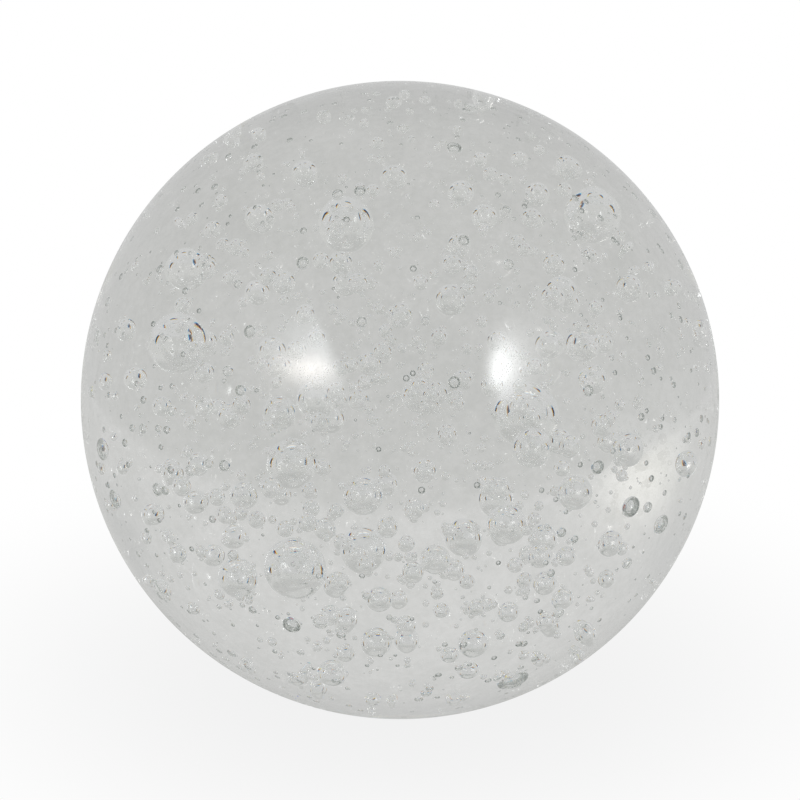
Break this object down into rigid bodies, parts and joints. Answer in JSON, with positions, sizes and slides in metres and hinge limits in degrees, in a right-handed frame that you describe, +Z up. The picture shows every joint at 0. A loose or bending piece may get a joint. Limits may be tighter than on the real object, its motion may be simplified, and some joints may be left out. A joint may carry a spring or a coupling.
{
  "type": "glass paperweight",
  "caption": "Solid clear glass ball with a cloud of trapped air bubbles and a flat polished base, a desk paperweight.",
  "frame": {"origin": "centre of the flat base, on the surface the ball rests on", "axes": "+Z up through the ball's centre, -Y towards the front"},
  "size_m": [0.08, 0.08, 0.0775],
  "materials": {
    "clear_glass": "fire polished, clear with a faint green-grey cast",
    "trapped_air": "smooth inner skin of a gas bubble"
  },
  "bodies": {
    "root": {"glass_ball": "clear_glass", "large_bubbles": "trapped_air", "medium_bubbles": "trapped_air", "small_bubbles": "trapped_air"}
  },
  "joints": []
}
